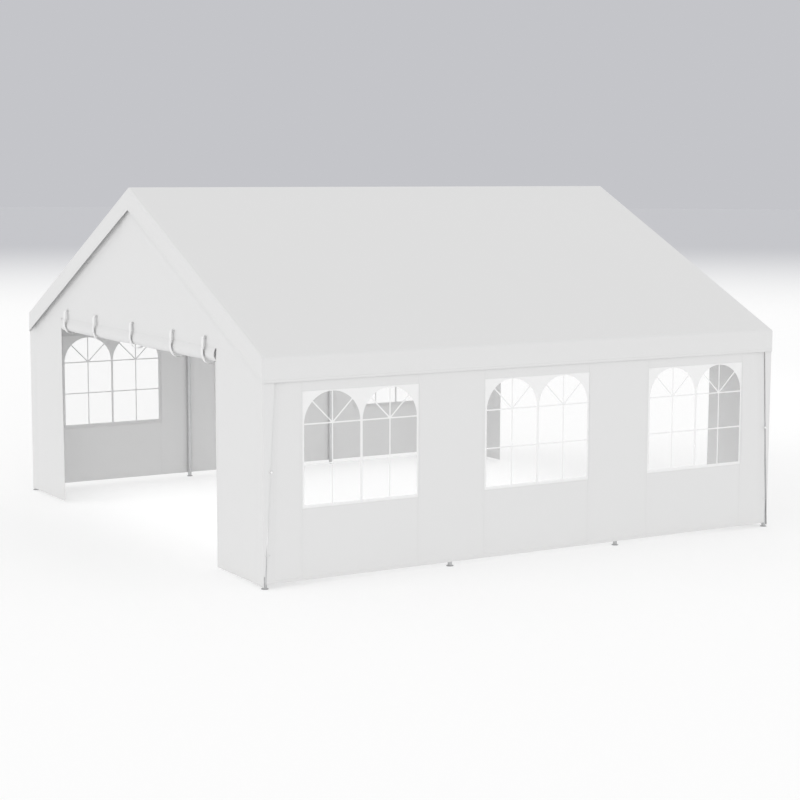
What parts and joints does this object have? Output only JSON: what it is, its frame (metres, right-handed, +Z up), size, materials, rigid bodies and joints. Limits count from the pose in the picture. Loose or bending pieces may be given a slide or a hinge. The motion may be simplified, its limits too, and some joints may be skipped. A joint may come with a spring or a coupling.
{
  "type": "marquee tent",
  "caption": "Free-standing marquee tent: steel tube frame under a white ridge roof with a valance, arched windows in the side walls, and a wide doorway in each gable with its door rolled up.",
  "frame": {"origin": "on the ground at the middle of the tent's plan", "axes": "+Z up; the ridge runs along Y, with the front gable facing -Y and the back gable facing +Y; the windowed side walls face -X (left) and +X (right)"},
  "size_m": [6.13, 6.0916, 3.6145],
  "materials": {
    "tube_steel": "zinc-coated steel tube, satin, slightly dull",
    "connector_steel": "welded zinc-coated steel sleeves, satin",
    "roof_sheet": "white coated sheeting, taut, semi-matt, fine weave under the coating",
    "wall_sheet": "white coated sheeting, hung, semi-matt, slightly wavy",
    "door_sheet": "white coated sheeting, rolled, with shallow wrinkles at the straps",
    "clear_sheet": "clear flexible plastic sheet, glossy"
  },
  "bodies": {
    "root": {"left_leg_1": "tube_steel", "left_eave_joint_1": "connector_steel", "left_rafter_1": "tube_steel", "left_leg_2": "tube_steel", "left_eave_joint_2": "connector_steel", "left_rafter_2": "tube_steel", "left_leg_3": "tube_steel", "left_eave_joint_3": "connector_steel", "left_rafter_3": "tube_steel", "left_leg_4": "tube_steel", "left_eave_joint_4": "connector_steel", "left_rafter_4": "tube_steel", "left_eave_purlin_1": "tube_steel", "left_window_1": "clear_sheet", "left_eave_purlin_2": "tube_steel", "left_window_2": "clear_sheet", "left_eave_purlin_3": "tube_steel", "left_window_3": "clear_sheet", "left_wall": "wall_sheet", "right_leg_1": "tube_steel", "right_eave_joint_1": "connector_steel", "right_rafter_1": "tube_steel", "right_leg_2": "tube_steel", "right_eave_joint_2": "connector_steel", "right_rafter_2": "tube_steel", "right_leg_3": "tube_steel", "right_eave_joint_3": "connector_steel", "right_rafter_3": "tube_steel", "right_leg_4": "tube_steel", "right_eave_joint_4": "connector_steel", "right_rafter_4": "tube_steel", "right_eave_purlin_1": "tube_steel", "right_window_1": "clear_sheet", "right_eave_purlin_2": "tube_steel", "right_window_2": "clear_sheet", "right_eave_purlin_3": "tube_steel", "right_window_3": "clear_sheet", "right_wall": "wall_sheet", "ridge_joint_1": "connector_steel", "ridge_joint_2": "connector_steel", "ridge_joint_3": "connector_steel", "ridge_joint_4": "connector_steel", "ridge_purlin_1": "tube_steel", "ridge_purlin_2": "tube_steel", "ridge_purlin_3": "tube_steel", "roof_cover": "roof_sheet", "front_gable": "wall_sheet", "front_left_panel": "wall_sheet", "front_right_panel": "wall_sheet", "front_door_roll": "door_sheet", "back_gable": "wall_sheet", "back_left_panel": "wall_sheet", "back_right_panel": "wall_sheet", "back_door_roll": "door_sheet"}
  },
  "joints": []
}
